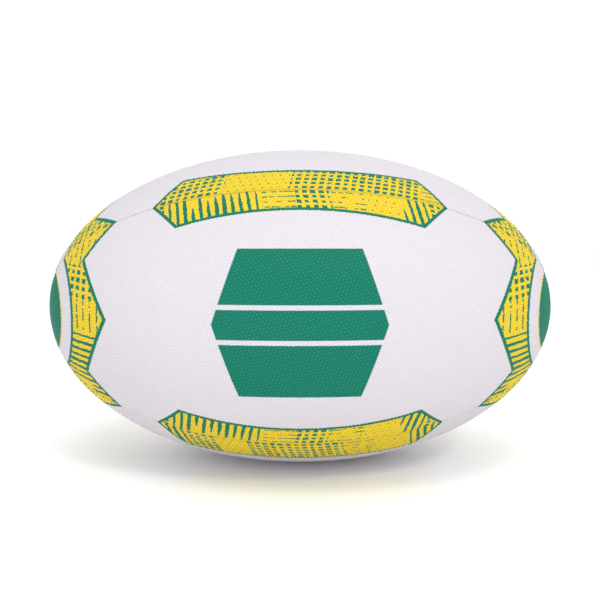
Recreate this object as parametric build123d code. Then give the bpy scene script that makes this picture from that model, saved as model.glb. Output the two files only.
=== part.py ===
from build123d import *
import math
import os

# A size 5 rugby ball: four stitched panels over an inflated bladder with one needle valve.
# Millimetres. The origin is the ball's centre, X runs along its length and +Z is up, and the front panel
# faces -Y. A depth is measured inwards from the ball's outer surface. The top panel is made first, and the
# other three are turned copies of it about X, without its valve hole.

# Overall size
ball_length = 298.0
ball_diameter = 185.0
end_flat_radius = 1.0  # each layer's ends are flat over this radius, where the panels' points meet

# Panel laminate, from the outside in: a grip rubber skin bonded to cloth plies
skin_thickness = 1.0
ply_thickness = 0.35
ply_names = ("outer_ply", "middle_ply", "inner_ply")

# Seams: each panel edge folds inwards and lies against its neighbour's folded edge
seam_gap = 0.1  # left between the two folded edges
fold_height = 5.5  # how far a folded edge stands in below the laminate

# Stitching
thread_radius = 0.45
cross_thread_radius = 0.4  # the thread is pulled thinner where it crosses through the folded edges
hole_clearance = 0.05
stitch_below_laminate = 2.0
crossing_pitch = 20.0  # only every fourth crossing of the thread is made
stitch_end_radius = 9.0  # how far from the ball's axis the stitching stops

# Bladder
bladder_wall = 0.7
bladder_clearance = 0.1

# Valve, on the Z axis in the middle of the top panel
valve_recess = 0.4  # how far its collar lies below the skin
collar_radius = 3.2
collar_clearance = 0.2
patch_radius = 15.0
patch_thickness = 0.35
flange_radius = 13.0
flange_thickness = 1.2
stem_radius = 4.6
stem_length = 12.0
core_radius = 2.4
core_ring_radius = 3.1
core_ring_height = 3.0
core_ring_below_flange = 3.0
core_clearance = 0.03
core_recess = 0.3
core_tail = 0.8  # how far the core stands out of the stem's inner end
needle_radius = 1.1
needle_depth = 8.0
funnel_radius = 1.9
funnel_depth = 1.2

laminate = skin_thickness + ply_thickness * len(ply_names)
fold_depth = laminate + fold_height
stitch_depth = laminate + stitch_below_laminate
half_length = ball_length / 2
half_diameter = ball_diameter / 2
beyond = ball_length  # longer than anything that it cuts

# The seam plane between the top and back panels: its x runs along the ball, its y outwards
# and its z into the top panel
seam_plane = Plane(origin=(0, 0, 0), x_dir=(1, 0, 0), z_dir=(0, -1, 1))


def spheroid(depth):
    """The solid inside the ball's surface moved in by depth, with both ends cut flat."""
    long_radius = half_length - depth
    short_radius = half_diameter - depth
    flat_at = long_radius * math.sqrt(1 - (end_flat_radius / short_radius) ** 2)
    upper = Pos(0, beyond / 2, 0) * Rectangle(2 * flat_at, beyond)
    return revolve(Ellipse(long_radius, short_radius) & upper, Axis.X, 360)


def wedge(gap):
    """The quarter of space that the top panel lies in, moved in from both seam planes by gap."""
    tip = gap * math.sqrt(2)
    outline = Polyline((0, tip), (beyond, tip + beyond), (-beyond, tip + beyond), close=True)
    section = Plane(origin=(-beyond / 2, 0, 0), x_dir=(0, 1, 0), z_dir=(1, 0, 0)) * make_face(outline)
    return extrude(section, amount=beyond, dir=(1, 0, 0))


def panel_core(inset):
    """The solid inside the top panel's folded surface moved in by inset."""
    return spheroid(inset) & wedge(seam_gap / 2 + inset)


def crossing_places():
    """Where the thread crosses the seam plane: points along an oval that stops short of the ball's ends."""
    long_radius = half_length - stitch_depth
    short_radius = half_diameter - stitch_depth
    end_angle = math.degrees(math.asin(stitch_end_radius / short_radius))
    sweep_angle = 180 - 2 * end_angle
    path = EllipticalCenterArc((0, 0), long_radius, short_radius, end_angle, arc_size=sweep_angle)
    crossings = round(path.length / crossing_pitch)
    return [path.position_at(number / crossings) for number in range(crossings + 1)]


def crossing_pins(radius, half_span):
    """Cylinders across the seam plane, one at each crossing."""
    return [seam_plane * Pos(place) * Cylinder(radius, 2 * half_span) for place in crossing_places()]


def seam_thread():
    """The thread of the top-back seam: a run along each side of the folded edges, and its crossings."""
    side = seam_gap / 2 + laminate + thread_radius
    thread = Part()
    for offset in (-side, side):
        path = seam_plane.offset(offset) * Polyline(*crossing_places())
        start = Plane(origin=path @ 0, z_dir=path % 0)
        thread += sweep(start * Circle(thread_radius), path=path, transition=Transition.RIGHT)
    return thread.fuse(*crossing_pins(cross_thread_radius, side))


def panel_layers():
    """The top panel's layers from the outside in, with their stitch holes, before any valve hole."""
    edge_pins = crossing_pins(cross_thread_radius + hole_clearance, 2 * laminate)
    holes = edge_pins + [pin.mirror(Plane.XZ) for pin in edge_pins]
    open_middle = spheroid(fold_depth)
    insets = [0, skin_thickness]
    insets += [skin_thickness + ply_thickness * (count + 1) for count in range(len(ply_names))]
    cores = [panel_core(inset) for inset in insets]
    names = ("grip_skin",) + ply_names
    return {
        name: (outside - inside - open_middle).cut(*holes)
        for name, outside, inside in zip(names, cores, cores[1:])
    }


def cylinder_between(radius, low, high):
    """A cylinder on the Z axis."""
    return Pos(0, 0, (low + high) / 2) * Cylinder(radius, high - low)


def curved_disc(radius, depth, thickness):
    """A round patch on the Z axis that follows the ball's curve."""
    return (spheroid(depth) - spheroid(depth + thickness)) & cylinder_between(radius, 0, beyond)


def bladder_shape(inset):
    """The bladder's solid outline moved in by inset, with creases that clear the panels' folded edges."""
    crease_half_width = seam_gap / 2 + laminate + 2 * thread_radius + bladder_clearance + inset
    middle = spheroid(fold_depth + bladder_clearance + inset)
    crease = seam_plane * Box(2 * beyond, 2 * beyond, 2 * crease_half_width) - middle
    return spheroid(laminate + bladder_clearance + inset) - crease - crease.rotate(Axis.X, 90)


def bladder():
    """The hollow bladder, dished under the patch and open where the valve's collar passes."""
    top_depth = laminate + bladder_clearance
    dish_outside = curved_disc(patch_radius + bladder_clearance, 0, top_depth + patch_thickness)
    dish_inside = curved_disc(
        patch_radius + bladder_clearance + bladder_wall, 0, top_depth + patch_thickness + bladder_wall
    )
    outside = bladder_shape(0) - dish_outside
    inside = bladder_shape(bladder_wall) - dish_inside
    return outside - inside - cylinder_between(collar_radius, 0, beyond)


flange_depth = laminate + bladder_clearance + patch_thickness + bladder_wall
collar_top = half_diameter - valve_recess
flange_low = half_diameter - flange_depth - flange_thickness
stem_low = flange_low - stem_length
ring_top = flange_low - core_ring_below_flange
core_top = collar_top - core_recess
needle_top = core_top - funnel_depth
needle_low = needle_top - needle_depth


def core_outline(clearance, low, high):
    """The valve core's solid outline, with the ring that keeps it in its stem."""
    ring_low = ring_top - core_ring_height
    ring = cylinder_between(core_ring_radius + clearance, ring_low - clearance, ring_top + clearance)
    return cylinder_between(core_radius + clearance, low, high) + ring


def valve_body():
    """The valve moulded to the bladder: a curved flange, a collar in the panel's hole and a stem inside."""
    collar = cylinder_between(collar_radius, flange_low, collar_top)
    stem = cylinder_between(stem_radius, stem_low, flange_low + flange_thickness / 2)
    body = curved_disc(flange_radius, flange_depth, flange_thickness) + collar + stem
    return body - core_outline(core_clearance, stem_low, collar_top)


def valve_core():
    """The soft core: a funnel and a lead-in hole for the needle, and solid rubber that seals below them."""
    funnel = Pos(0, 0, core_top - funnel_depth / 2) * Cone(needle_radius, funnel_radius, funnel_depth)
    core = core_outline(0, stem_low - core_tail, core_top)
    return core - funnel - cylinder_between(needle_radius, needle_low, needle_top)


def main():
    os.makedirs("parts", exist_ok=True)
    layers = panel_layers()
    valve_hole = cylinder_between(collar_radius + collar_clearance, 0, beyond)
    thread = seam_thread()
    nodes = {}
    turns = {"top": 0, "front": 90, "bottom": 180, "back": 270}
    for panel, turn in turns.items():
        for layer, shape in layers.items():
            turned = shape.rotate(Axis.X, turn)
            nodes[f"{panel}_{layer}"] = turned - valve_hole if panel == "top" else turned
    seams = {"top_back": 0, "front_top": 90, "bottom_front": 180, "back_bottom": 270}
    for seam, turn in seams.items():
        nodes[f"{seam}_seam_thread"] = thread.rotate(Axis.X, turn)
    patch = curved_disc(patch_radius, laminate, patch_thickness)
    nodes["valve_hole_patch"] = patch - valve_hole
    nodes["bladder"] = bladder()
    nodes["valve_body"] = valve_body()
    nodes["valve_core"] = valve_core()
    for name, shape in nodes.items():
        export_step(shape, f"parts/{name}.step")
        print(name, round(shape.volume, 1), len(shape.solids()))


main()
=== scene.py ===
import math
import bmesh
import bpy
import numpy as np
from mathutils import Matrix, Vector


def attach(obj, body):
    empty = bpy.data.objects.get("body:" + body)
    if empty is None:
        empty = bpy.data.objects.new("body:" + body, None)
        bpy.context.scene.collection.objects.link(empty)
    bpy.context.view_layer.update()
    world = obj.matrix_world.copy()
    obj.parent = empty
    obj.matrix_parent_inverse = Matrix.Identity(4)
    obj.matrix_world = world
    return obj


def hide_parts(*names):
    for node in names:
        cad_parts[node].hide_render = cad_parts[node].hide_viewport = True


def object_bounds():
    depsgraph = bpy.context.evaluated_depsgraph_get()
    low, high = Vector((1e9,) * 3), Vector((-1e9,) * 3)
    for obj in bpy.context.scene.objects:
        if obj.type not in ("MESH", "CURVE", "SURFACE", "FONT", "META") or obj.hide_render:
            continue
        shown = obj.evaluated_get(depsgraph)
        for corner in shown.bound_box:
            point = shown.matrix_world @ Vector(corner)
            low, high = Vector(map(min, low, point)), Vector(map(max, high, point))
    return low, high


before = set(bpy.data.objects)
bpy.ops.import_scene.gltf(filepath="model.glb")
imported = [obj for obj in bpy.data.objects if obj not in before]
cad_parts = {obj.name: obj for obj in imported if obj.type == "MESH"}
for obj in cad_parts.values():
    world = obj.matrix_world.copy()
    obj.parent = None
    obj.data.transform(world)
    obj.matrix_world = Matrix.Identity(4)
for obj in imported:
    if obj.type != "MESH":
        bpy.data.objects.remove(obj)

mm = 0.001
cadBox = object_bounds()
boxLow, boxHigh = cadBox
halfLength = (boxHigh.x - boxLow.x) / 2
halfWidth = (boxHigh.z - boxLow.z) / 2
quarterTurn = math.pi / 2

viewSetup = {
    "distance": 388.5 * mm,
    "elevation": 5.8,  # degrees above level
    "lens": 38.04,
    "shiftY": 0.01,
    "floorSize": 30.0,
    "floorColours": ((0.965, 0.965, 0.965), (0.985, 0.985, 0.985)),
    "roomStrength": 1.03,
}


def makeCamera():
    data = bpy.data.cameras.new("viewCamera")
    data.lens = viewSetup["lens"]
    data.shift_y = viewSetup["shiftY"]
    camera = bpy.data.objects.new("viewCamera", data)
    bpy.context.collection.objects.link(camera)
    tilt = math.radians(viewSetup["elevation"])
    reach = viewSetup["distance"]
    camera.location = (0, -reach * math.cos(tilt), reach * math.sin(tilt))
    camera.rotation_euler = (quarterTurn - tilt, 0, 0)
    bpy.context.scene.camera = camera


lightSetup = {
    # name: (place, aimed at, size in metres, watts, spread of the beam in degrees)
    "overhead": ((0.15, -0.35, 1.5), (0, 0, 0), 0.8, 3.0, 180),
    "frontRight": ((0.8, -1.1, 1.25), (0, 0, 0), 0.28, 6.0, 180),
    "frontLow": ((-0.4, -1.6, 0.10), (0, 0, -0.02), 1.2, 3.6, 180),
    "behind": ((0.2, 1.6, 1.0), (0, 0, 0), 1.4, 2.5, 180),
    "floorWash": ((-0.05, -0.62, 0.8), (-0.05, -0.5, -0.1), 0.5, 0.75, 60),
}


def makeLights():
    for name, (place, aim, size, power, spread) in lightSetup.items():
        data = bpy.data.lights.new(name, "AREA")
        data.size = size
        data.energy = power
        data.spread = math.radians(spread)
        lamp = bpy.data.objects.new(name, data)
        bpy.context.collection.objects.link(lamp)
        lamp.location = place
        away = np.subtract(place, aim)
        tilt = math.atan2(math.hypot(away[0], away[1]), away[2])
        lamp.rotation_euler = (tilt, 0, math.atan2(away[1], away[0]) + quarterTurn)
    world = bpy.data.worlds.new("paleRoom")
    bpy.context.scene.world = world
    world.use_nodes = True
    background = world.node_tree.nodes["Background"]
    background.inputs["Color"].default_value = (1, 1, 1, 1)
    background.inputs["Strength"].default_value = viewSetup["roomStrength"]


def calc(tree, operation, *values):
    # one Math node; a value is a number or another node's socket
    node = tree.nodes.new("ShaderNodeMath")
    node.operation = operation
    for place, value in enumerate(values):
        if isinstance(value, bpy.types.NodeSocket):
            tree.links.new(value, node.inputs[place])
        else:
            node.inputs[place].default_value = value
    return node.outputs[0]


def lowest(tree, *values):
    found = values[0]
    for value in values[1:]:
        found = calc(tree, "MINIMUM", found, value)
    return found


def highest(tree, *values):
    found = values[0]
    for value in values[1:]:
        found = calc(tree, "MAXIMUM", found, value)
    return found


def above(tree, value, limit, soft):
    # 1 where value passes limit, with an edge of the given softness
    node = tree.nodes.new("ShaderNodeMapRange")
    tree.links.new(calc(tree, "SUBTRACT", value, limit), node.inputs["Value"])
    node.inputs["From Min"].default_value = -soft
    node.inputs["From Max"].default_value = soft
    return node.outputs["Result"]


def rescale(tree, value, fromLow, fromHigh, toLow, toHigh):
    node = tree.nodes.new("ShaderNodeMapRange")
    tree.links.new(value, node.inputs["Value"])
    numbers = {"From Min": fromLow, "From Max": fromHigh, "To Min": toLow, "To Max": toHigh}
    for label, number in numbers.items():
        node.inputs[label].default_value = number
    return node.outputs["Result"]


def together(tree, x, y, z=0.0):
    node = tree.nodes.new("ShaderNodeCombineXYZ")
    for place, value in enumerate((x, y, z)):
        if isinstance(value, bpy.types.NodeSocket):
            tree.links.new(value, node.inputs[place])
        else:
            node.inputs[place].default_value = value
    return node.outputs[0]


def noise(tree, vector, scale, detail):
    node = tree.nodes.new("ShaderNodeTexNoise")
    tree.links.new(vector, node.inputs["Vector"])
    node.inputs["Scale"].default_value = scale
    node.inputs["Detail"].default_value = detail
    return node.outputs[0]


def chance(tree, x, y=0.0):
    # a fixed random number from 0 to 1 for each pair of whole numbers
    node = tree.nodes.new("ShaderNodeTexWhiteNoise")
    node.noise_dimensions = "2D"
    tree.links.new(together(tree, x, y), node.inputs["Vector"])
    return node.outputs["Value"]


def blendColour(tree, amount, first, second, mode="MIX"):
    node = tree.nodes.new("ShaderNodeMix")
    node.data_type = "RGBA"
    node.blend_type = mode
    for label, value in ((0, amount), (6, first), (7, second)):
        if isinstance(value, bpy.types.NodeSocket):
            tree.links.new(value, node.inputs[label])
        elif label:
            node.inputs[label].default_value = (*value, 1)
        else:
            node.inputs[label].default_value = value
    return node.outputs[2]


def newGroup(name, inputs, outputs):
    # inputs and outputs: socket name to "FLOAT", "VECTOR" or "COLOR", or to a starting number
    group = bpy.data.node_groups.new(name, "ShaderNodeTree")
    kinds = {"FLOAT": "NodeSocketFloat", "VECTOR": "NodeSocketVector", "COLOR": "NodeSocketColor"}
    for label, kind in inputs.items():
        isNumber = not isinstance(kind, str)
        socket = group.interface.new_socket(
            label, in_out="INPUT", socket_type=kinds["FLOAT" if isNumber else kind]
        )
        if isNumber:
            socket.default_value = kind
    for label, kind in outputs.items():
        group.interface.new_socket(label, in_out="OUTPUT", socket_type=kinds[kind])
    return group, group.nodes.new("NodeGroupInput").outputs, group.nodes.new("NodeGroupOutput").inputs


def placeGroup(tree, group, values):
    node = tree.nodes.new("ShaderNodeGroup")
    node.node_tree = group
    for label, value in values.items():
        if isinstance(value, bpy.types.NodeSocket):
            tree.links.new(value, node.inputs[label])
        elif isinstance(value, (tuple, list)):
            node.inputs[label].default_value = (*value, 1)
        else:
            node.inputs[label].default_value = value
    return node.outputs


def newMaterial(name):
    material = bpy.data.materials.new(name)
    material.use_nodes = True
    tree = material.node_tree
    return material, tree, tree.nodes["Principled BSDF"]


def readAttribute(tree, name):
    node = tree.nodes.new("ShaderNodeAttribute")
    node.attribute_name = name
    return node.outputs["Fac"]


def objectPlace(tree):
    return tree.nodes.new("ShaderNodeTexCoord").outputs["Object"]


def roughen(tree, shader, height, distance):
    # a Bump node on the shader's Normal; distance is in metres
    node = tree.nodes.new("ShaderNodeBump")
    node.inputs["Strength"].default_value = 1.0
    node.inputs["Distance"].default_value = distance
    tree.links.new(height, node.inputs["Height"])
    tree.links.new(node.outputs["Normal"], shader.inputs["Normal"])


# print on the panels: every length in this dictionary and in the next is in millimetres
printSetup = {
    "bandTip": 77.7,  # along the ball, from its middle
    "bandCorner": 62.8,
    "armTip": 99.8,
    "notch": 119.7,
    "notchGap": 16.2,  # from the seam
    "apex": 101.4,
    "ringCentre": 170.0,
    "ringRadius": 40.2,
    "capCentre": 166.5,
    "capRadius": 26.3,
    "capFull": 20.0,  # further past its centre than this, the cap covers the whole point of the panel
    "capLine": 1.1,
    "outline": 1.7,
    "endOutline": 2.3,
    "endStretch": 1.55,
    "ragged": 0.9,  # how far the outline's inner edge wanders, from end to end
    "edgeSoft": 0.12,
    "badgeHalfLength": 42.5,
    "badgeCorner": 30.0,
    "badgeHalfHeight": 37.0,
    "badgeStripe": (7.2, 9.6),  # white, on both sides of its middle
    "white": (0.68, 0.653, 0.690),
    "yellow": (0.92, 0.70, 0.032),
    "green": (0.0030, 0.225, 0.143),
}


tableHalf = 20000  # steps from the middle of the oval's table to either end


def ovalArc():
    # the oval's angle and its length of arc from the middle, on a fine table
    angle = np.linspace(-quarterTurn, quarterTurn, 2 * tableHalf + 1)
    speed = np.hypot(halfLength * np.cos(angle), halfWidth * np.sin(angle))
    arc = np.concatenate([[0], np.cumsum((speed[1:] + speed[:-1]) / 2 * np.diff(angle))])
    return angle, arc - arc[-1] / 2


ovalAngles, ovalArcs = ovalArc()
poleArc = ovalArcs[-1]


def radiusAt(along):
    return halfWidth * np.cos(np.interp(along, ovalArcs, ovalAngles))


hatchSetup = {
    "seedShift": 37.0,  # moves each panel on to marks of its own
    "lean": -0.17,  # sideways for each millimetre across the band
    "zone": 17.0,  # a kind of mark changes after each such length
    "strokePitch": 4.1,
    "strokeWidth": (0.30, 0.26),  # shares of the pitch: least, and random extra
    "strokeLength": (9.0, 16.0),  # least, and random extra
    "checkPitch": (4.1, 3.4),  # along and across
    "checkSize": 0.58,  # share of the pitch, and how much it varies
    "checkSpread": 0.12,
    "dotPitch": (4.4, 3.4),
    "dotRadius": 0.115,  # share of the pitch
    "dotShift": 1.3,  # from one row of dots to the next
    "linePitch": 3.4,
    "lineWidth": 0.2,
    "lineBreaks": 0.46,
    "wobble": 0.5,
    "wobbleScale": 0.42,
    # upper limits of the strokes', checks' and lines' zones: on a panel with few checks, and with many
    "zoneLimits": ((0.44, 0.22), (0.60, 0.74), (0.64, 0.88)),
}


def makeHatchGroup():
    # hand-drawn strokes across the band, rows of checks, fine dots and thin broken lines, in zones
    h = hatchSetup
    group, given, result = newGroup(
        "hatchMarks",
        {"Along": 0.0, "Across": 0.0, "Depth": 0.0, "Checks": 0.0, "Seed": 0.0},
        {"Mark": "FLOAT"},
    )
    flat = together(group, given["Along"], given["Across"], given["Seed"])
    wobble = group.nodes.new("ShaderNodeTexNoise")
    wobble.inputs["Scale"].default_value = h["wobbleScale"]
    wobble.inputs["Detail"].default_value = 1.0
    group.links.new(flat, wobble.inputs["Vector"])
    shift = group.nodes.new("ShaderNodeSeparateColor")
    group.links.new(wobble.outputs[1], shift.inputs[0])

    def wobbled(value, channel):
        drift = calc(group, "SUBTRACT", shift.outputs[channel], 0.5)
        return calc(group, "MULTIPLY_ADD", drift, 2 * h["wobble"], value)

    def fromMiddle(value, pitch):
        turn = calc(group, "FRACT", calc(group, "DIVIDE", value, pitch))
        return calc(group, "ABSOLUTE", calc(group, "SUBTRACT", turn, 0.5))

    along = wobbled(calc(group, "MULTIPLY_ADD", given["Seed"], h["seedShift"], given["Along"]), 0)
    across, depth = wobbled(given["Across"], 1), given["Depth"]
    leaning = calc(group, "MULTIPLY_ADD", across, h["lean"], along)
    zone = calc(group, "FLOOR", calc(group, "DIVIDE", leaning, h["zone"]))
    kind = chance(group, zone, given["Seed"])
    # strokes start at the outline, and each has its own random width and length
    column = calc(group, "FLOOR", calc(group, "DIVIDE", leaning, h["strokePitch"]))
    leastWidth, extraWidth = h["strokeWidth"]
    leastLength, extraLength = h["strokeLength"]
    width = calc(group, "MULTIPLY_ADD", chance(group, column, 8.0), extraWidth / 2, leastWidth / 2)
    length = calc(group, "MULTIPLY_ADD", chance(group, column, 3.0), extraLength, leastLength)
    taper = calc(group, "POWER", calc(group, "DIVIDE", depth, length), 4.0)
    tapered = calc(group, "MULTIPLY", width, calc(group, "SUBTRACT", 1.0, taper))
    stroke = calc(group, "LESS_THAN", fromMiddle(leaning, h["strokePitch"]), tapered)
    # checks
    checkAlong, checkAcross = h["checkPitch"]
    checkColumn = calc(group, "FLOOR", calc(group, "DIVIDE", leaning, checkAlong))
    checkRow = calc(group, "FLOOR", calc(group, "DIVIDE", across, checkAcross))
    checkLuck = chance(group, checkColumn, checkRow)
    leastCheck = (h["checkSize"] - h["checkSpread"]) / 2
    checkSize = calc(group, "MULTIPLY_ADD", checkLuck, h["checkSpread"], leastCheck)
    check = highest(group, fromMiddle(leaning, checkAlong), fromMiddle(across, checkAcross))
    check = calc(group, "LESS_THAN", check, checkSize)
    # dots, each row set off from the one before
    dotLong, dotHigh = h["dotPitch"]
    dotRow = calc(group, "FLOOR", calc(group, "DIVIDE", across, dotHigh))
    shifted = calc(group, "MULTIPLY_ADD", dotRow, h["dotShift"], along)
    dotReach = calc(group, "POWER", fromMiddle(shifted, dotLong), 2.0)
    dotReach = calc(group, "ADD", dotReach, calc(group, "POWER", fromMiddle(across, dotHigh), 2.0))
    dot = calc(group, "LESS_THAN", dotReach, h["dotRadius"] ** 2)
    # thin broken lines
    lineRow = calc(group, "FLOOR", calc(group, "DIVIDE", across, h["linePitch"]))
    slowAlong = calc(group, "MULTIPLY", along, 0.3)
    linePlace = together(group, slowAlong, calc(group, "MULTIPLY", lineRow, 5.3))
    unbroken = calc(group, "GREATER_THAN", noise(group, linePlace, 1.0, 1.0), h["lineBreaks"])
    line = calc(group, "LESS_THAN", fromMiddle(across, h["linePitch"]), h["lineWidth"] / 2)
    line = calc(group, "MULTIPLY", line, unbroken)
    # shares of the zones: strokes, then checks, then lines, and dots for the rest
    inStrokes, uptoChecks, uptoLines = [
        calc(group, "LESS_THAN", kind, calc(group, "MULTIPLY_ADD", given["Checks"], many - few, few))
        for few, many in h["zoneLimits"]
    ]
    mark = highest(
        group,
        calc(group, "MULTIPLY", stroke, inStrokes),
        calc(group, "MULTIPLY", check, calc(group, "SUBTRACT", uptoChecks, inStrokes)),
        calc(group, "MULTIPLY", line, calc(group, "SUBTRACT", uptoLines, uptoChecks)),
        calc(group, "MULTIPLY", dot, calc(group, "SUBTRACT", 1.0, uptoLines)),
    )
    group.links.new(mark, result["Mark"])
    return group


def slantGap(tree, x, y, start, end):
    # how far a point lies from the straight edge that runs from start to end, positive on its right
    length = math.hypot(end[0] - start[0], end[1] - start[1])
    run, rise = (end[0] - start[0]) / length, (end[1] - start[1]) / length
    first = calc(tree, "MULTIPLY", calc(tree, "SUBTRACT", x, start[0]), rise)
    second = calc(tree, "MULTIPLY", calc(tree, "SUBTRACT", y, start[1]), run)
    return calc(tree, "SUBTRACT", first, second)


def discReach(tree, along, across, centre):
    offset = calc(tree, "SUBTRACT", along, centre)
    acrossSquare = calc(tree, "MULTIPLY", across, across)
    return calc(tree, "SQRT", calc(tree, "MULTIPLY_ADD", offset, offset, acrossSquare))


def makePrintGroup(hatchGroup):
    p = printSetup
    soft = p["edgeSoft"]
    group, given, result = newGroup(
        "panelPrint",
        {
            "Along": 0.0, "Across": 0.0, "SeamGap": 0.0,
            "BandMiddle": 14.2, "BandCorner": 17.6, "Badge": 0.0, "Checks": 0.0, "Seed": 0.0,
            "White": "COLOR", "Yellow": "COLOR", "Green": "COLOR",
        },
        {"Colour": "COLOR", "Ink": "FLOAT"},
    )
    flat = together(group, given["Along"], given["Across"], given["Seed"])
    ragged = calc(group, "MULTIPLY_ADD", noise(group, flat, 0.9, 1.0), p["ragged"], -p["ragged"] / 2)
    reach = calc(group, "ABSOLUTE", given["Along"])
    side = calc(group, "ABSOLUTE", given["Across"])
    gap, corner = given["SeamGap"], given["BandCorner"]
    # the long band along the seam, with its pointed tips on the seam
    share = calc(group, "POWER", calc(group, "DIVIDE", reach, p["bandCorner"]), 2.0)
    spread = calc(group, "SUBTRACT", corner, given["BandMiddle"])
    edge = calc(group, "SUBTRACT", calc(group, "MULTIPLY_ADD", share, spread, given["BandMiddle"]), gap)
    tipRun = p["bandTip"] - p["bandCorner"]
    tipSlope = calc(group, "MULTIPLY", calc(group, "SUBTRACT", p["bandTip"], reach), corner)
    tipSlope = calc(group, "SUBTRACT", tipSlope, calc(group, "MULTIPLY", gap, tipRun))
    tipLength = calc(group, "SQRT", calc(group, "MULTIPLY_ADD", corner, corner, tipRun ** 2))
    band = lowest(group, edge, calc(group, "DIVIDE", tipSlope, tipLength))
    # the zigzag round each end, which stops at a round edge towards the point of the panel
    notchSide = float(radiusAt(p["notch"] * mm)) / mm * math.pi / 4 - p["notchGap"]
    fromApex = slantGap(group, reach, side, (p["apex"], 0.0), (p["notch"], notchSide))
    fromArm = slantGap(group, reach, gap, (p["armTip"], 0.0), (p["notch"], p["notchGap"]))
    ring = calc(group, "SUBTRACT", discReach(group, reach, side, p["ringCentre"]), p["ringRadius"])
    endPiece = lowest(group, highest(group, fromApex, fromArm), ring)
    capAlong = calc(group, "MINIMUM", reach, p["capCentre"] + p["capFull"])
    cap = calc(group, "SUBTRACT", p["capRadius"], discReach(group, capAlong, side, p["capCentre"]))
    # the plain badge in the middle of the panel
    badgeTip, badgeCorner = (p["badgeHalfLength"], 0.0), (p["badgeCorner"], p["badgeHalfHeight"])
    badgeEnd = calc(group, "MULTIPLY", slantGap(group, reach, side, badgeTip, badgeCorner), -1.0)
    badge = lowest(group, calc(group, "SUBTRACT", p["badgeHalfHeight"], side), badgeEnd)
    stripeLow, stripeHigh = p["badgeStripe"]
    withinStripe = calc(group, "SUBTRACT", 1.0, above(group, side, stripeHigh, soft))
    stripe = calc(group, "MULTIPLY", above(group, side, stripeLow, soft), withinStripe)
    badgeInk = calc(group, "MULTIPLY", above(group, badge, 0.0, soft), calc(group, "SUBTRACT", 1.0, stripe))
    badgeInk = calc(group, "MULTIPLY", badgeInk, given["Badge"])
    # hatching: along the seam on the bands, across the ball on the end pieces
    onEnd = calc(group, "GREATER_THAN", endPiece, band)
    onBand = calc(group, "SUBTRACT", 1.0, onEnd)
    endAcross = calc(group, "MULTIPLY", given["Across"], onEnd)
    hatchAlong = calc(group, "MULTIPLY_ADD", given["Along"], onBand, endAcross)
    # marks on the end pieces are stretched along the ball, and their outline is heavier
    endReach = calc(group, "MULTIPLY", reach, calc(group, "MULTIPLY", onEnd, 1 / p["endStretch"]))
    hatchAcross = calc(group, "MULTIPLY_ADD", gap, onBand, endReach)
    shape = highest(group, band, endPiece)
    marks = placeGroup(
        group, hatchGroup,
        {
            "Along": hatchAlong, "Across": hatchAcross, "Depth": shape,
            "Checks": given["Checks"], "Seed": given["Seed"],
        },
    )["Mark"]
    roughShape = calc(group, "ADD", shape, ragged)
    filled = above(group, shape, 0.0, soft)
    outlineHere = calc(group, "MULTIPLY_ADD", onEnd, p["endOutline"] - p["outline"], p["outline"])
    outline = calc(group, "SUBTRACT", 1.0, above(group, roughShape, outlineHere, soft))
    capInk = above(group, cap, p["capLine"], soft)
    yellowInk = highest(group, filled, above(group, cap, 0.0, soft))
    greenInk = calc(group, "MULTIPLY", filled, highest(group, outline, marks))
    greenInk = highest(group, greenInk, capInk, badgeInk)
    colour = blendColour(group, yellowInk, given["White"], given["Yellow"])
    colour = blendColour(group, greenInk, colour, given["Green"])
    group.links.new(colour, result["Colour"])
    group.links.new(highest(group, yellowInk, greenInk), result["Ink"])
    return group


def makeGrainGroup():
    # fine grain and slow unevenness of moulded rubber, on the object's own coordinates in metres
    group, given, result = newGroup(
        "rubberGrain",
        {"Place": "VECTOR", "Fine": 1400.0, "Broad": 28.0},
        {"Height": "FLOAT", "Tone": "FLOAT"},
    )
    fine = group.nodes.new("ShaderNodeTexNoise")
    broad = group.nodes.new("ShaderNodeTexNoise")
    for node, label in ((fine, "Fine"), (broad, "Broad")):
        group.links.new(given["Place"], node.inputs["Vector"])
        group.links.new(given[label], node.inputs["Scale"])
        node.inputs["Detail"].default_value = 3.0
    group.links.new(fine.outputs[0], result["Height"])
    group.links.new(broad.outputs[0], result["Tone"])
    return group


def makeWeaveGroup():
    # plain weave: threads pass over and under each other in two directions
    group, given, result = newGroup(
        "plainWeave", {"X": 0.0, "Y": 0.0, "Pitch": 0.7 * mm}, {"Height": "FLOAT", "Lift": "FLOAT"}
    )
    turns = calc(group, "DIVIDE", math.pi, given["Pitch"])
    warp = calc(group, "SINE", calc(group, "MULTIPLY", given["X"], turns))
    weft = calc(group, "SINE", calc(group, "MULTIPLY", given["Y"], turns))
    product = calc(group, "MULTIPLY", warp, weft)
    over = calc(group, "GREATER_THAN", product, 0.0)
    bulge = calc(group, "ABSOLUTE", product)
    group.links.new(calc(group, "POWER", bulge, 0.5), result["Height"])
    group.links.new(over, result["Lift"])
    return group


panelLooks = {
    # panel: (turn about the ball's length, band's reach in the middle and at its corners,
    # badge, checks, seed)
    "front": (0, 14.2, 17.6, 1.0, 0.0, 1.0),
    "top": (1, 17.0, 19.8, 0.0, 1.0, 2.0),
    "back": (2, 14.2, 17.6, 1.0, 0.0, 3.0),
    "bottom": (3, 22.6, 24.4, 0.0, 1.0, 4.0),
}
panelFinish = {
    # painted highlight: on the ink the pimples' tops are made paler, partly as worn ink
    "wearAndHighlightColour": (0.75, 0.80, 0.74),
    "wearAndHighlightShare": 0.07,
    # painted shade: the skin between the pimples is darkened
    "hollowShadeTint": (0.52, 0.48, 0.52),
    "hollowShadeShare": 0.34,  # twice as much on the ink
    "slowTint": (0.86, 0.83, 0.86),
    "slowShare": 0.06,
    "roughness": (0.62, 0.36),  # in the hollows, and on the pimples' tops
    "inkGloss": 0.06,
    "shine": 0.14,
    "grainHeight": 0.05 * mm,
}


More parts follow.
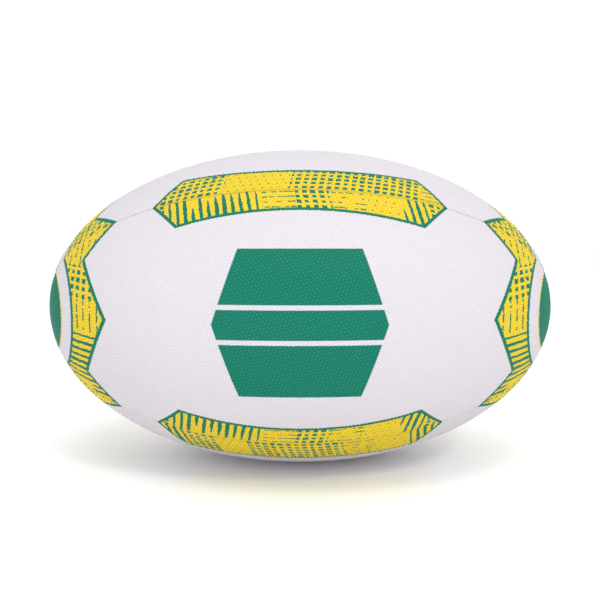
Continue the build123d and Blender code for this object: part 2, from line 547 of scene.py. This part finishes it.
def panelMaterial(panel, printGroup, grainGroup):
    _, bandMiddle, bandCorner, badge, checks, seed = panelLooks[panel]
    f = panelFinish
    material, tree, shader = newMaterial(panel + "PrintedRubber")
    uv = tree.nodes.new("ShaderNodeUVMap")
    uv.uv_map = "printMap"
    split = tree.nodes.new("ShaderNodeSeparateXYZ")
    tree.links.new(uv.outputs[0], split.inputs[0])
    relief = readAttribute(tree, "relief")
    outside = readAttribute(tree, "outside")
    printed = placeGroup(
        tree, printGroup,
        {
            "Along": split.outputs["X"], "Across": split.outputs["Y"],
            "SeamGap": readAttribute(tree, "seamGap"),
            "BandMiddle": bandMiddle, "BandCorner": bandCorner,
            "Badge": badge, "Checks": checks, "Seed": seed,
            "White": printSetup["white"], "Yellow": printSetup["yellow"], "Green": printSetup["green"],
        },
    )
    grain = placeGroup(tree, grainGroup, {"Place": objectPlace(tree), "Fine": 1500.0, "Broad": 30.0})
    colour = blendColour(tree, outside, printSetup["white"], printed["Colour"])
    # on the ink the pimples' tops are painted paler, partly worn ink and partly a painted highlight, and
    # painted shade lies in the hollows between them
    wearAndHighlight = calc(tree, "MULTIPLY", rescale(tree, relief, 0.55, 1.0, 0.0, f["wearAndHighlightShare"]), printed["Ink"])
    colour = blendColour(tree, wearAndHighlight, colour, f["wearAndHighlightColour"])
    # painted shade in the hollows between the pimples, twice as strong on the ink
    shadeInHollows = calc(tree, "MULTIPLY", rescale(tree, relief, 0.1, 0.65, f["hollowShadeShare"], 0.0), outside)
    shadeInHollows = calc(tree, "MULTIPLY", shadeInHollows, calc(tree, "ADD", printed["Ink"], 1.0))
    colour = blendColour(tree, shadeInHollows, colour, f["hollowShadeTint"], "MULTIPLY")
    tone = rescale(tree, grain["Tone"], 0.3, 0.7, 0.0, f["slowShare"])
    colour = blendColour(tree, tone, colour, f["slowTint"], "MULTIPLY")
    tree.links.new(colour, shader.inputs["Base Color"])
    gloss = rescale(tree, relief, 0.0, 0.9, *f["roughness"])
    gloss = calc(tree, "MULTIPLY_ADD", printed["Ink"], -f["inkGloss"], gloss)
    tree.links.new(calc(tree, "MULTIPLY_ADD", grain["Tone"], 0.08, gloss), shader.inputs["Roughness"])
    shader.inputs["Specular IOR Level"].default_value = f["shine"]
    roughen(tree, shader, grain["Height"], f["grainHeight"])
    return material


def plainRubber(name, colour, roughness, grainGroup, fine=900.0):
    material, tree, shader = newMaterial(name)
    grain = placeGroup(tree, grainGroup, {"Place": objectPlace(tree), "Fine": fine, "Broad": 40.0})
    tone = rescale(tree, grain["Tone"], 0.3, 0.7, 0.0, 0.35)
    paler = tuple(min(1.0, value * 1.8 + 0.02) for value in colour)
    tree.links.new(blendColour(tree, tone, colour, paler), shader.inputs["Base Color"])
    gloss = calc(tree, "MULTIPLY_ADD", grain["Height"], 0.2, roughness - 0.1)
    tree.links.new(gloss, shader.inputs["Roughness"])
    roughen(tree, shader, grain["Height"], 0.08 * mm)
    return material


clothSetup = {
    "threadPitch": 0.8 * mm,
    "radius": 80 * mm,  # turns the angle round the ball into a length
    "under": (0.63, 0.58, 0.46),
    "over": (0.74, 0.70, 0.58),
    # painted shade: the gaps between the threads are darkened
    "gapShade": (0.30, 0.26, 0.19),
    "glue": (0.55, 0.48, 0.34),
    "roughness": 0.85,
    "weaveHeight": 0.15 * mm,
}


def clothMaterial(weaveGroup, grainGroup):
    c = clothSetup
    material, tree, shader = newMaterial("backingCloth")
    place = objectPlace(tree)
    split = tree.nodes.new("ShaderNodeSeparateXYZ")
    tree.links.new(place, split.inputs[0])
    around = calc(tree, "ARCTAN2", split.outputs["Z"], split.outputs["Y"])
    across = calc(tree, "MULTIPLY", around, c["radius"])
    weave = placeGroup(tree, weaveGroup, {"X": split.outputs["X"], "Y": across, "Pitch": c["threadPitch"]})
    grain = placeGroup(tree, grainGroup, {"Place": place, "Fine": 700.0, "Broad": 35.0})
    colour = blendColour(tree, weave["Lift"], c["under"], c["over"])
    # painted shade where the weave dips between the threads
    colour = blendColour(tree, rescale(tree, weave["Height"], 0.0, 0.5, 0.6, 0.0), colour, c["gapShade"])
    colour = blendColour(tree, rescale(tree, grain["Tone"], 0.3, 0.7, 0.0, 0.25), colour, c["glue"])
    tree.links.new(colour, shader.inputs["Base Color"])
    shader.inputs["Roughness"].default_value = c["roughness"]
    roughen(tree, shader, weave["Height"], c["weaveHeight"])
    return material


threadColours = {"dark": (0.38, 0.33, 0.32), "light": (0.64, 0.58, 0.57)}


def threadMaterial(grainGroup):
    material, tree, shader = newMaterial("waxedThread")
    wave = tree.nodes.new("ShaderNodeTexWave")
    tree.links.new(objectPlace(tree), wave.inputs["Vector"])
    wave.bands_direction = "DIAGONAL"
    wave.inputs["Scale"].default_value = 900.0
    wave.inputs["Distortion"].default_value = 1.5
    grain = placeGroup(tree, grainGroup, {"Place": objectPlace(tree), "Fine": 2500.0, "Broad": 60.0})
    colour = blendColour(tree, wave.outputs["Fac"], threadColours["dark"], threadColours["light"])
    tree.links.new(colour, shader.inputs["Base Color"])
    tree.links.new(calc(tree, "MULTIPLY_ADD", grain["Tone"], 0.2, 0.45), shader.inputs["Roughness"])
    roughen(tree, shader, wave.outputs["Fac"], 0.06 * mm)
    return material


def floorMaterial(grainGroup):
    material, tree, shader = newMaterial("paleFloor")
    grain = placeGroup(tree, grainGroup, {"Place": objectPlace(tree), "Fine": 60.0, "Broad": 2.0})
    tone = rescale(tree, grain["Tone"], 0.3, 0.7, 0.0, 1.0)
    colour = blendColour(tree, tone, *viewSetup["floorColours"])
    tree.links.new(colour, shader.inputs["Base Color"])
    shader.inputs["Roughness"].default_value = 0.9
    shader.inputs["Specular IOR Level"].default_value = 0.1
    return material


def surfacePlace(along, angle, depth, turn):
    # a point of the oval at a length of arc from the middle, sunk along the oval's normal by depth,
    # then carried round the ball's length by angle from the middle of the panel, which itself lies
    # so many quarter turns from the front
    t = np.interp(along, ovalArcs, ovalAngles)
    normalX, normalR = halfWidth * np.sin(t), halfLength * np.cos(t)
    size = np.hypot(normalX, normalR)
    x = halfLength * np.sin(t) - depth * normalX / size
    radius = halfWidth * np.cos(t) - depth * normalR / size
    around = angle + turn * quarterTurn
    return np.stack([x, -radius * np.cos(around), radius * np.sin(around)], -1)


def sunkRadius(along, depth):
    # how far such a sunk point is from the ball's axis
    t = np.interp(along, ovalArcs, ovalAngles)
    normalX, normalR = halfWidth * np.sin(t), halfLength * np.cos(t)
    return halfWidth * np.cos(t) - depth * normalR / np.hypot(normalX, normalR)


def newObject(name, points, faces, material):
    # faces is a list of whole-number arrays, one for triangles and one for quads
    mesh = bpy.data.meshes.new(name)
    corners = np.concatenate([part.ravel() for part in faces])
    sizes = np.concatenate([np.full(len(part), part.shape[1]) for part in faces])
    mesh.vertices.add(len(points))
    mesh.vertices.foreach_set("co", points.astype(np.float32).ravel())
    mesh.loops.add(len(corners))
    mesh.loops.foreach_set("vertex_index", corners.astype(np.int32))
    mesh.polygons.add(len(sizes))
    starts = np.concatenate([[0], np.cumsum(sizes)[:-1]])
    mesh.polygons.foreach_set("loop_start", starts.astype(np.int32))
    mesh.polygons.foreach_set("use_smooth", np.ones(len(sizes), bool))
    mesh.update(calc_edges=True)
    mesh.materials.append(material)
    made = bpy.data.objects.new(name, mesh)
    bpy.context.collection.objects.link(made)
    return made, corners


panelSetup = {
    "pimplePitch": 2.0 * mm,
    "pimpleHeight": 0.50 * mm,
    "pimpleSink": 0.16 * mm,  # how far the skin between the pimples lies below the panel's edges
    "pimpleWander": 0.11 * mm,
    "pimpleVariety": 0.15,
    "pimpleFoot": 0.10,  # height of the ring round each pimple, as a share of the pimple's
    "pimplePull": 0.27,  # how far the ring round each pimple is drawn towards its top
    "pointGap": 0.12 * mm,  # from the panel's point to the ball's axis
    "seamGap": 0.05 * mm,
    "rollRadius": 0.65 * mm,  # of the edge that rolls into the seam
    "rollSteps": (25, 50, 72, 90),  # degrees
    "rollMargin": 1.3 * mm,
    "stitchPull": 0.45,  # how much wider the roll is at each stitch
    "skin": 0.95 * mm,
    "foldDepth": 7.4 * mm,
    "foldShare": 0.6,  # the fold is never deeper than this share of the ball's radius there
    "foldCorner": 0.3 * mm,
    "innerCorner": (0.7 * mm, 0.9 * mm),  # where the folded edge meets the wall: along and down
    "innerColumns": 9,
    "innerSpan": 0.84,  # share of the inner wall's width between its first and last column
    "fullSides": 4.0 * mm,  # narrower than this, the panel's sides shrink with it
    "edgeFade": 1.2 * mm,  # pimples grow to full height over this
    "holeRadius": 3.4 * mm,
    "holeSides": 96,
    "holeCleaning": 0.02 * mm,  # shorter edges than this go after the cut
    "smoothRing": 5.6 * mm,  # no pimples nearer the valve than this
    "smoothFade": 0.8 * mm,
    "rimRadius": 4.9 * mm,  # the raised ring round the valve hole
    "rimWidth": 0.9 * mm,
    "rimHeight": 0.3 * mm,
}
luckLength = 1009  # length of the table of random numbers for the pimples
stitchSetup = {
    "pitch": 4.7 * mm,
    "halfLength": 0.7 * mm,
    "radius": 0.26 * mm,
    "radiusVariety": 0.15,
    "depth": 0.18 * mm,
    "depthVariety": 0.5,
    "endDrop": 0.30 * mm,
    "endTaper": 0.97,  # at 1 the ends would close to points
    "slant": 0.12 * mm,
    "rings": 7,
    "sides": 6,
    "endRadius": 9.0 * mm,  # stitching stops this far from the ball's axis
}
bakeShares = {"along": (0.004, 0.992), "across": (0.005, 0.88), "hidden": (0.9, 0.095)}  # start and extent
ringNeighbours = np.array([(0, 0), (0, 1), (1, -1), (1, 0), (-1, 0), (-1, 1), (0, -1)])


def panelObject(panel, material):
    s = panelSetup
    turn = panelLooks[panel][0]
    # a triangular lattice in the flattened panel, where every seventh point is a pimple's top
    # and the six points round it are its foot
    step = s["pimplePitch"] / math.sqrt(7)
    rowStep = step * math.sqrt(3) / 2
    lastRow = int(poleArc / rowStep) + 1
    row = np.arange(-lastRow, lastRow + 1)
    along = np.clip(row * rowStep, s["pointGap"] - poleArc, poleArc - s["pointGap"])
    width = radiusAt(along) * math.pi / 4
    shrink = np.clip(width / s["fullSides"], 0, 1)
    margin = s["rollMargin"] * shrink
    columns = int(width.max() / step) + 2
    column = np.arange(-columns, columns + 1)
    odd = (row % 2)[:, None]
    across = (column[None, :] + odd / 2) * step
    inside = np.abs(across) < (width - margin)[:, None] - 0.3 * step
    # each point's kind: 0 for a pimple's top, 1 to 6 for its place in the ring round one
    slant = column[None, :] - (row // 2)[:, None]
    kind = (3 * slant + row[:, None]) % 7
    neighbour = ringNeighbours[kind]
    topSlant, topRow = slant - neighbour[..., 0], row[:, None] - neighbour[..., 1]
    topAcross = (topSlant + topRow / 2) * step
    topAlong = topRow * rowStep
    luck = np.random.default_rng(11 + turn).uniform(-1, 1, (luckLength, 3))
    # the two factors scatter neighbouring pimples over the table
    own = luck[(topRow * 613 + topSlant * 271) % luckLength]
    pull, wander = s["pimplePull"], s["pimpleWander"]
    fromTop = neighbour[..., 0] + neighbour[..., 1] / 2
    gridAlong = along[:, None] - pull * neighbour[..., 1] * rowStep + own[..., 0] * wander
    gridAcross = across - pull * fromTop * step + own[..., 1] * wander
    edgeRoom = (width - margin)[:, None] - np.abs(topAcross)
    fade = np.clip(edgeRoom / s["edgeFade"] + 0.25, 0, 1)
    size = fade * (1 + s["pimpleVariety"] * own[..., 2])
    if panel == "top":
        reach = np.hypot(topAlong, topAcross)
        size = size * np.clip((reach - s["smoothRing"]) / s["smoothFade"], 0, 1)
    relief = size * np.where(kind == 0, 1.0, s["pimpleFoot"])
    lift = relief * s["pimpleHeight"] - fade * s["pimpleSink"]
    if panel == "top":  # the raised ring: a bell curve over the distance from the hole's middle
        reach = np.hypot(gridAlong, gridAcross)
        lift = lift + s["rimHeight"] * np.exp(-(((reach - s["rimRadius"]) / s["rimWidth"]) ** 2))
    seamGap = width[:, None] - np.abs(gridAcross)
    # order of the points: the lattice, the left and right border, the rolled and hidden columns
    number = np.cumsum(inside.ravel()).reshape(inside.shape) - 1
    count, rows = int(inside.sum()), len(row)
    left, right = count + np.arange(rows), count + rows + np.arange(rows)
    number = np.where(inside, number, np.where(across < 0, left[:, None], right[:, None]))
    angle = gridAcross / radiusAt(gridAlong)
    lattice = surfacePlace(gridAlong, angle, -lift, turn)[inside]
    borderAngle = (width - margin) / radiusAt(along)
    borders = [surfacePlace(along, side * borderAngle, 0 * along, turn) for side in (-1, 1)]
    # one side's columns as pairs of gap and depth: from the border down the roll and the folded edge,
    # and back up under the skin
    atStitch = np.cos(2 * math.pi * along / stitchSetup["pitch"])
    roll = s["rollRadius"] * shrink * (1 + s["stitchPull"] * atStitch)
    near, skin = s["seamGap"] * shrink, s["skin"] * shrink
    fold = np.minimum(s["foldDepth"], s["foldShare"] * radiusAt(along))
    foldEdge = fold - s["foldCorner"] * shrink
    innerAlong, innerDown = (size * shrink for size in s["innerCorner"])
    sides = [
        (near + roll * (1 - math.sin(turned)), roll * (1 - math.cos(turned)))
        for turned in map(math.radians, s["rollSteps"])
    ]
    sides += [
        (near, foldEdge), (near + 0.2 * skin, fold), (near + 0.8 * skin, fold),
        (near + skin, foldEdge), (near + skin, skin + innerDown), (near + skin + innerAlong, skin),
    ]
    hidden = [(math.pi / 4 - gap / sunkRadius(along, depth), depth, gap) for gap, depth in sides]
    inner = np.linspace(s["innerSpan"], -s["innerSpan"], s["innerColumns"])
    wall = [(hidden[-1][0] * share, skin, width * (1 - abs(share))) for share in inner]
    loop = hidden + wall + [(-angles, depth, gap) for angles, depth, gap in reversed(hidden)]
    around = np.stack([surfacePlace(along, angles, depth, turn) for angles, depth, _ in loop], 1)
    perRow = len(loop)
    strip = count + 2 * rows + np.arange(rows)[:, None] * perRow + np.arange(perRow)[None, :]
    strip = np.concatenate([right[:, None], strip, left[:, None]], 1)
    points = np.concatenate([lattice, *borders, around.reshape(-1, 3)])
    ends = [len(points), len(points) + 1]
    # triangles between neighbouring rows, which lean one way after an even row and the other way
    # after an odd one
    a, b, c, d = number[:-1, :-1], number[:-1, 1:], number[1:, :-1], number[1:, 1:]
    even = (row[:-1] % 2 == 0)[:, None]
    first = np.stack([a, c, np.where(even, b, d)], -1)
    second = np.where(even[..., None], np.stack([b, c, d], -1), np.stack([a, d, b], -1))
    triangles = np.concatenate([first.reshape(-1, 3), second.reshape(-1, 3)])
    one, two, three = triangles.T
    triangles = triangles[(one != two) & (two != three) & (one != three)]
    outsideSteps = len(s["rollSteps"]) + 1
    quads = np.stack([strip[:-1, :-1], strip[1:, :-1], strip[1:, 1:], strip[:-1, 1:]], -1)
    # a fan closes each end of the tube
    caps = []
    for place, rowPlace in ((0, 0), (1, rows - 1)):
        shown = number[rowPlace][inside[rowPlace]]
        ringOrder = np.concatenate([[left[rowPlace]], shown, strip[rowPlace][:-1]])
        points = np.concatenate([points, points[ringOrder].mean(0)[None]])
        after = np.roll(ringOrder, -1)
        centre = np.full(len(ringOrder), ends[place])
        fan = [centre, ringOrder, after] if place == 0 else [centre, after, ringOrder]
        caps.append(np.stack(fan, -1))
    triangles = np.concatenate([triangles] + caps)
    quadColumns = np.tile(np.arange(quads.shape[1]), quads.shape[0])
    quads = quads.reshape(-1, 4)
    made, corners = newObject(panel + "Panel", points, [triangles, quads], material)
    mesh = made.data
    # maps and attributes
    total = len(points)
    flatAlong, flatAcross = np.zeros(total), np.zeros(total)
    reliefAt, gapAt, outsideAt = np.zeros(total), np.zeros(total), np.zeros(total)
    flatAlong[:count], flatAcross[:count] = gridAlong[inside], gridAcross[inside]
    reliefAt[:count], gapAt[:count], outsideAt[:count] = relief[inside], seamGap[inside], 1
    for numbers, side in ((left, -1), (right, 1)):
        flatAlong[numbers], flatAcross[numbers] = along, side * (width - margin)
        gapAt[numbers], outsideAt[numbers] = margin, 1
    body = strip[:, 1:-1]
    flatAlong[body] = along[:, None]
    flatAlong[ends] = along[0], along[-1]
    outsideAt[ends] = 1
    loopSide = np.array([1] * len(hidden) + [0] * len(wall) + [-1] * len(hidden))
    loopGap = np.stack([gap for _, _, gap in loop], 1)
    flatAcross[body] = loopSide[None, :] * (width[:, None] - loopGap)
    gapAt[body] = loopGap
    place = np.arange(perRow)
    outsideAt[body] = (place < outsideSteps - 1) | (place >= perRow - outsideSteps + 1)
    for name, values in (("relief", reliefAt), ("seamGap", gapAt / mm), ("outside", outsideAt)):
        mesh.attributes.new(name, "FLOAT", "POINT").data.foreach_set("value", values.astype(np.float32))
    printMap = np.stack([flatAlong / mm, flatAcross / mm], -1)[corners]
    mesh.uv_layers.new(name="printMap").uv.foreach_set("vector", printMap.astype(np.float32).ravel())
    # the export's own map: the outside fills most of it, the hidden faces a strip along one edge
    start, extent = bakeShares["along"]
    alongShare = start + extent * (flatAlong / along[-1] + 1) / 2
    widthHere = np.interp(flatAlong, along, width)
    start, extent = bakeShares["across"]
    acrossShare = start + extent * (np.clip(flatAcross / widthHere, -1, 1) + 1) / 2
    order = np.zeros(total)
    order[body] = place / perRow
    start, extent = bakeShares["hidden"]
    stripShare = start + extent * order
    hiddenQuad = (quadColumns >= outsideSteps) & (quadColumns <= perRow - outsideSteps)
    hiddenCorner = np.concatenate([np.zeros(3 * len(triangles), bool), np.repeat(hiddenQuad, 4)])
    bakeAcross = np.where(hiddenCorner, stripShare[corners], acrossShare[corners])
    bakeMap = np.stack([alongShare[corners], bakeAcross], -1)
    mesh.uv_layers.new(name="OFBake").uv.foreach_set("vector", bakeMap.astype(np.float32).ravel())
    mesh.uv_layers.active = mesh.uv_layers["printMap"]
    print("panel", panel, len(points), "points,", len(triangles) + 2 * len(quads), "triangles")
    return made


def cutValveHole(panel):
    # a straight round hole through the top panel's middle
    s = panelSetup
    bpy.ops.mesh.primitive_cylinder_add(
        vertices=s["holeSides"], radius=s["holeRadius"], depth=20 * mm, location=(0, 0, halfWidth)
    )
    cutter = bpy.context.object
    cut = panel.modifiers.new("valveHole", "BOOLEAN")
    cut.object = cutter
    cut.solver = "EXACT"
    bpy.context.view_layer.objects.active = panel
    bpy.ops.object.modifier_apply(modifier=cut.name)
    bpy.data.objects.remove(cutter)
    shell = bmesh.new()
    shell.from_mesh(panel.data)
    bmesh.ops.dissolve_degenerate(shell, dist=s["holeCleaning"], edges=shell.edges)
    shell.to_mesh(panel.data)
    shell.free()


def seamStitches(name, turn, material):
    # short bent thread bars across the seam: a round section, shrunk at both ends, whose centre
    # follows a shallow arch
    s = stitchSetup
    halfArcs = ovalArcs[tableHalf:]
    lastArc = np.interp(-s["endRadius"], -radiusAt(halfArcs), halfArcs)
    number = int(lastArc / s["pitch"])
    along = np.arange(-number, number + 1) * s["pitch"]
    luck = np.random.default_rng(31 + turn).uniform(-1, 1, (3, len(along), 1, 1))
    share = np.linspace(-1, 1, s["rings"])[:, None]
    around = np.arange(s["sides"]) * 2 * math.pi / s["sides"]
    taper = np.sqrt(1 - (s["endTaper"] * share) ** 4)
    fullness = s["radius"] * (1 + s["radiusVariety"] * luck[0]) * taper
    sunk = s["depth"] * (1 + s["depthVariety"] * luck[1])
    depth = sunk + s["endDrop"] * share ** 2 - fullness * np.sin(around)
    slant = along[:, None, None] + s["slant"] * luck[2] * share + fullness * np.cos(around)
    sideways = s["halfLength"] * share / radiusAt(along)[:, None, None] + 0 * slant
    points = surfacePlace(slant, sideways + math.pi / 4, depth, turn)
    rings, sides = s["rings"], s["sides"]
    base = (np.arange(len(along)) * rings * sides)[:, None, None]
    ring = np.arange(rings - 1)[None, :, None] * sides
    spoke = np.arange(sides)[None, None, :]
    nextSpoke = (spoke + 1) % sides
    low, high = base + ring, base + ring + sides
    quads = np.stack([low + spoke, high + spoke, high + nextSpoke, low + nextSpoke], -1)
    endsLow = base[:, 0, :] + np.arange(sides)
    endsHigh = base[:, 0, :] + (rings - 1) * sides + np.arange(sides)[::-1]
    made, _ = newObject(name, points.reshape(-1, 3), [quads.reshape(-1, 4), endsLow, endsHigh], material)
    print("stitches", name, len(along))
    return made


makeCamera()
makeLights()
bpy.context.scene.view_settings.view_transform = "Standard"
print("camera and lights are set")

hatchGroup = makeHatchGroup()
printGroup = makePrintGroup(hatchGroup)
grainGroup = makeGrainGroup()
weaveGroup = makeWeaveGroup()
cloth = clothMaterial(weaveGroup, grainGroup)
thread = threadMaterial(grainGroup)
print("shader groups are made")

for panel in panelLooks:
    made = panelObject(panel, panelMaterial(panel, printGroup, grainGroup))
    if panel == "top":
        cutValveHole(made)
    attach(made, "root")
    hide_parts(panel + "_grip_skin")

seams = {"frontTopStitches": 0, "topBackStitches": 1, "backBottomStitches": 2, "bottomFrontStitches": 3}
for name, turn in seams.items():
    made = seamStitches(name, turn, thread)
    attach(made, "root")

innerLooks = {
    "bladder": plainRubber("bladderRubber", (0.012, 0.012, 0.014), 0.45, grainGroup, 500.0),
    "valve_hole_patch": plainRubber("patchRubber", (0.05, 0.05, 0.055), 0.6, grainGroup),
    "valve_body": plainRubber("valveRubber", (0.020, 0.020, 0.022), 0.5, grainGroup),
    "valve_core": plainRubber("coreRubber", (0.045, 0.043, 0.042), 0.4, grainGroup, 1500.0),
}
for node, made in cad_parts.items():
    if node.endswith("_grip_skin"):
        continue
    finish = cloth if node.endswith("_ply") else thread if node.endswith("_thread") else innerLooks[node]
    made.data.materials.clear()
    made.data.materials.append(finish)
print("inner pieces are finished")

bpy.ops.mesh.primitive_plane_add(size=viewSetup["floorSize"], location=(0, 0, boxLow.z))
floor = bpy.context.object
floor.name = "floor"
floor.data.materials.append(floorMaterial(grainGroup))
